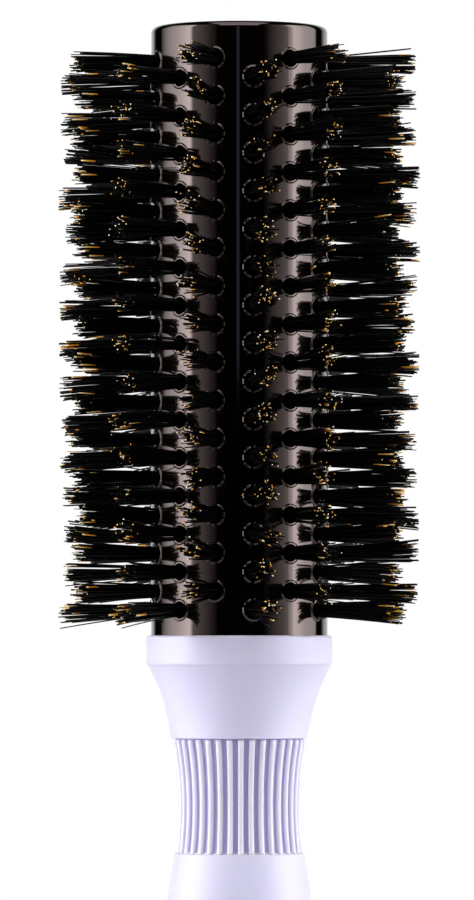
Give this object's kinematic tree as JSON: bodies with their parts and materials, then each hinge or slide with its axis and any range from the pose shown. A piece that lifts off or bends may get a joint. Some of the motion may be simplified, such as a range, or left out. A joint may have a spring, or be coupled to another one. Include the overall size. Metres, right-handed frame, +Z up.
{
  "type": "round barrel brush",
  "caption": "Round hair brush: a glossy black barrel set with staggered columns of dark bristle tufts, on a pale flared handle with a ribbed waist.",
  "frame": {"origin": "centre of the flat at the handle's end, on the brush's axis", "axes": "+Z up the brush's axis from the handle's end to the barrel; a column of tufts points along +X and along -X"},
  "size_m": [0.064, 0.0634, 0.2223],
  "materials": {
    "lacquered_beech": "gloss",
    "bristle": "satin",
    "anchor_wire": "satin",
    "satin_handle_plastic": "satin",
    "core_plastic": "satin",
    "zinc_plated_steel": "satin"
  },
  "bodies": {
    "root": {"barrel": "lacquered_beech", "barrel_screw": "zinc_plated_steel", "bristle_tufts_col_01": "bristle", "bristle_tufts_col_02": "bristle", "bristle_tufts_col_03": "bristle", "bristle_tufts_col_04": "bristle", "bristle_tufts_col_05": "bristle", "bristle_tufts_col_06": "bristle", "bristle_tufts_col_07": "bristle", "bristle_tufts_col_08": "bristle", "bristle_tufts_col_09": "bristle", "bristle_tufts_col_10": "bristle", "bristle_tufts_col_11": "bristle", "bristle_tufts_col_12": "bristle", "bristle_tufts_col_13": "bristle", "bristle_tufts_col_14": "bristle", "end_cap": "satin_handle_plastic", "flared_collar": "satin_handle_plastic", "handle_core": "core_plastic", "lower_grip": "satin_handle_plastic", "ribbed_grip_sleeve": "satin_handle_plastic", "tuft_anchors_col_01": "anchor_wire", "tuft_anchors_col_02": "anchor_wire", "tuft_anchors_col_03": "anchor_wire", "tuft_anchors_col_04": "anchor_wire", "tuft_anchors_col_05": "anchor_wire", "tuft_anchors_col_06": "anchor_wire", "tuft_anchors_col_07": "anchor_wire", "tuft_anchors_col_08": "anchor_wire", "tuft_anchors_col_09": "anchor_wire", "tuft_anchors_col_10": "anchor_wire", "tuft_anchors_col_11": "anchor_wire", "tuft_anchors_col_12": "anchor_wire", "tuft_anchors_col_13": "anchor_wire", "tuft_anchors_col_14": "anchor_wire"}
  },
  "joints": []
}
